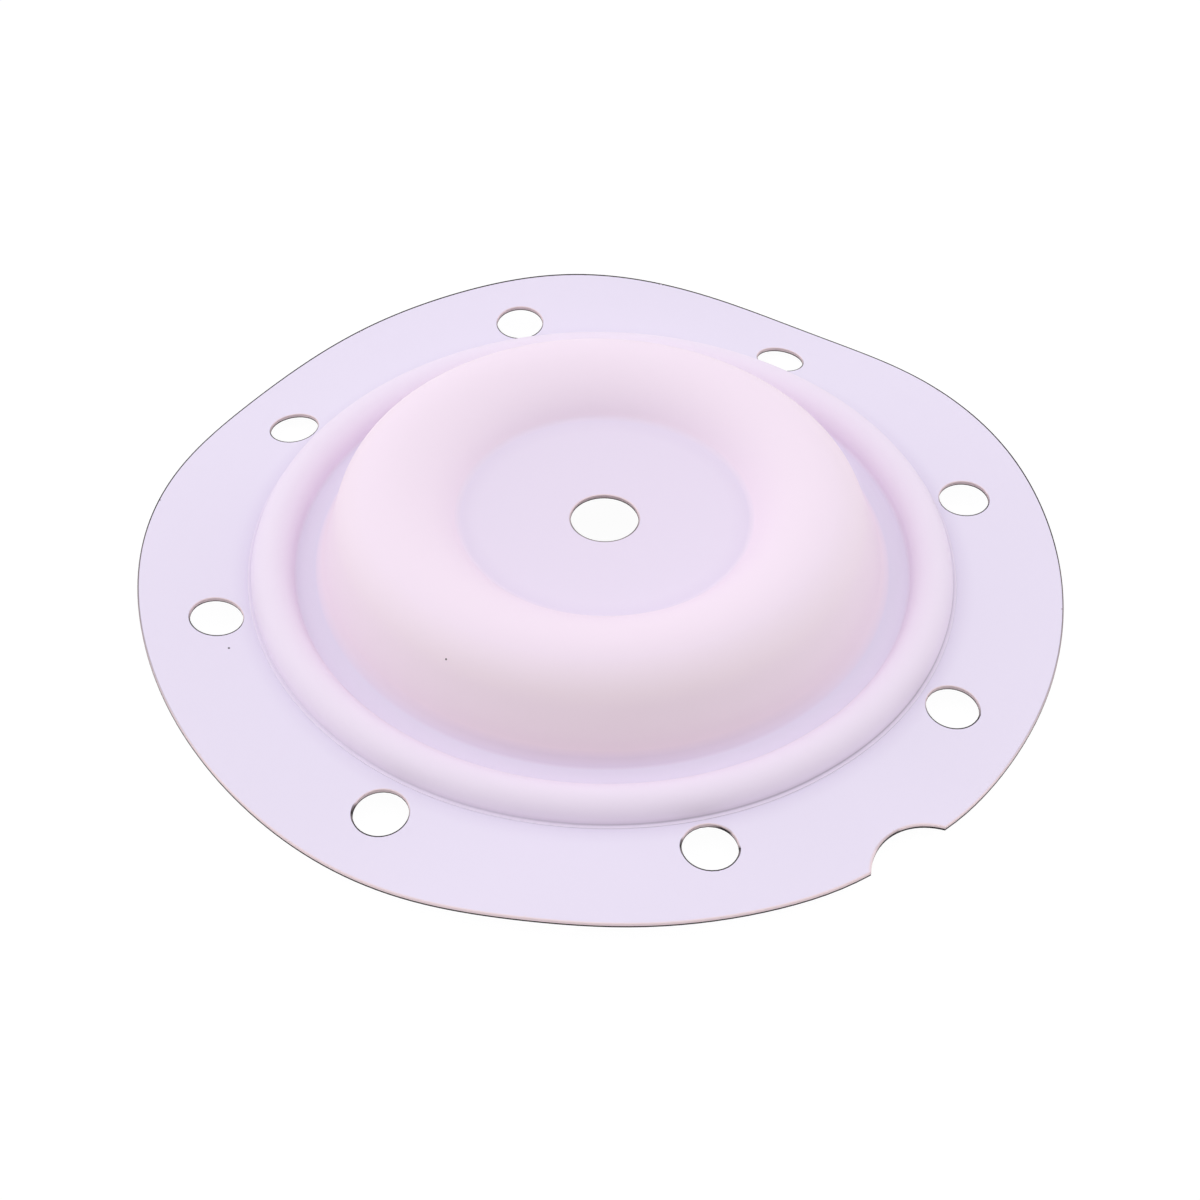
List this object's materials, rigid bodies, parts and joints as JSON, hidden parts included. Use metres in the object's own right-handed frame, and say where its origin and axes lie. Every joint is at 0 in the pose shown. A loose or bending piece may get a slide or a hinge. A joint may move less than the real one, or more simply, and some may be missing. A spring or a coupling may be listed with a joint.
{
  "type": "pump diaphragm",
  "caption": "Thin white fluoropolymer pump diaphragm: round bolted flange with a rim notch, raised bead, rounded convolution and a raised flat disc with a central rod hole.",
  "frame": {"origin": "on the diaphragm's axis, at the flat underside of the flange", "axes": "+Z along the axis, towards the side the convolution bulges to; -Y towards the viewer of the picture"},
  "size_m": [0.226, 0.226, 0.0316],
  "materials": {
    "fluoropolymer": "smooth satin white with a cool cast"
  },
  "bodies": {
    "root": {"diaphragm": "fluoropolymer"}
  },
  "joints": []
}
